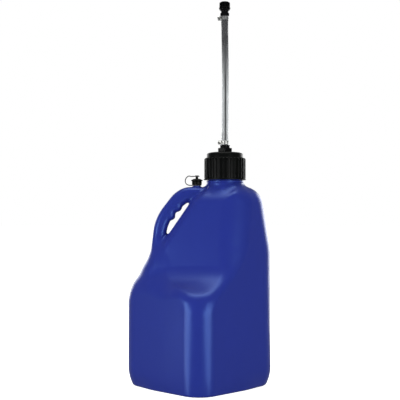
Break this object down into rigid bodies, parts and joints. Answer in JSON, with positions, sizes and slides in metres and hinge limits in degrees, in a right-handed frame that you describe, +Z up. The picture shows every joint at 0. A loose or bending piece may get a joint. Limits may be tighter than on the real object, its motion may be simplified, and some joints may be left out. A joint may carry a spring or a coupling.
{
  "type": "utility fuel jug",
  "caption": "Square plastic fuel jug with a moulded corner handle, a ribbed screw cap carrying a clear upright filler hose with a capped tip, and a small tethered vent cap.",
  "frame": {"origin": "middle of the base underside, at the centre of the jug's square footprint", "axes": "+Z up along the hose; +X along the diagonal from the handle corner to the corner beside the neck; Y across, the jug is symmetric about Y = 0"},
  "size_m": [0.3222, 0.3222, 0.8726],
  "materials": {
    "blue_polyethylene": "satin moulded high density polyethylene",
    "black_cap_plastic": "moulded black",
    "black_fitting_plastic": "moulded black, semi-gloss",
    "black_strap_rubber": "soft black",
    "seal_rubber": "matt black",
    "clear_vinyl": "clear flexible tube",
    "stainless_steel": "rolled band",
    "plated_screw": "bright plated"
  },
  "bodies": {
    "tank": {"tank_shell": "blue_polyethylene", "vent_tether": "black_strap_rubber"},
    "cap_lift": {"cap_gasket": "seal_rubber"},
    "filler_cap": {"filler_cap": "black_cap_plastic", "fitting_washer": "seal_rubber", "hose_fitting": "black_fitting_plastic", "nut_washer": "seal_rubber", "bulkhead_nut": "black_fitting_plastic", "hose": "clear_vinyl", "lower_clamp_band": "stainless_steel", "lower_clamp_housing": "stainless_steel", "upper_clamp_band": "stainless_steel", "upper_clamp_housing": "stainless_steel", "tip_adapter": "black_fitting_plastic"},
    "lower_clamp_screw": {"lower_clamp_screw": "plated_screw"},
    "upper_clamp_screw": {"upper_clamp_screw": "plated_screw"},
    "end_cap_lift": {"end_cap_seal": "seal_rubber"},
    "end_cap": {"end_cap": "black_cap_plastic"},
    "vent_lift": {"vent_gasket": "seal_rubber"},
    "vent_cap": {"vent_cap": "black_cap_plastic"}
  },
  "joints": [
    {"name": "filler_cap_rise", "type": "slide", "parent": "tank", "child": "cap_lift", "axis": [0, 0, 1], "range_m": [0, 0.015]},
    {"name": "filler_cap_unscrew", "type": "hinge", "parent": "cap_lift", "child": "filler_cap", "pos_m": [0.058, 0, 0.49], "axis": [0, 0, 1], "range_deg": [0, 900]},
    {"name": "lower_clamp_turn", "type": "hinge", "parent": "filler_cap", "child": "lower_clamp_screw", "pos_m": [0.0451, 0, 0.55075], "axis": [0, 1, 0], "range_deg": [-720, 720]},
    {"name": "upper_clamp_turn", "type": "hinge", "parent": "filler_cap", "child": "upper_clamp_screw", "pos_m": [0.0447, 0, 0.83475], "axis": [0, 1, 0], "range_deg": [-720, 720]},
    {"name": "end_cap_rise", "type": "slide", "parent": "filler_cap", "child": "end_cap_lift", "axis": [0, 0, 1], "range_m": [0, 0.0045]},
    {"name": "end_cap_unscrew", "type": "hinge", "parent": "end_cap_lift", "child": "end_cap", "pos_m": [0.0576, 0, 0.865], "axis": [0, 0, 1], "range_deg": [0, 720]},
    {"name": "vent_cap_rise", "type": "slide", "parent": "tank", "child": "vent_lift", "axis": [0, 0, 1], "range_m": [0, 0.0045]},
    {"name": "vent_cap_unscrew", "type": "hinge", "parent": "vent_lift", "child": "vent_cap", "pos_m": [-0.006, 0, 0.46], "axis": [0, 0, 1], "range_deg": [0, 720]}
  ],
  "couplings": [
    {"joint": "filler_cap_unscrew", "follows": "filler_cap_rise", "rad_per_m": 1047.2},
    {"joint": "end_cap_rise", "follows": "end_cap_unscrew", "m_per_rad": 0.00031831},
    {"joint": "vent_cap_rise", "follows": "vent_cap_unscrew", "m_per_rad": 0.00031831}
  ]
}
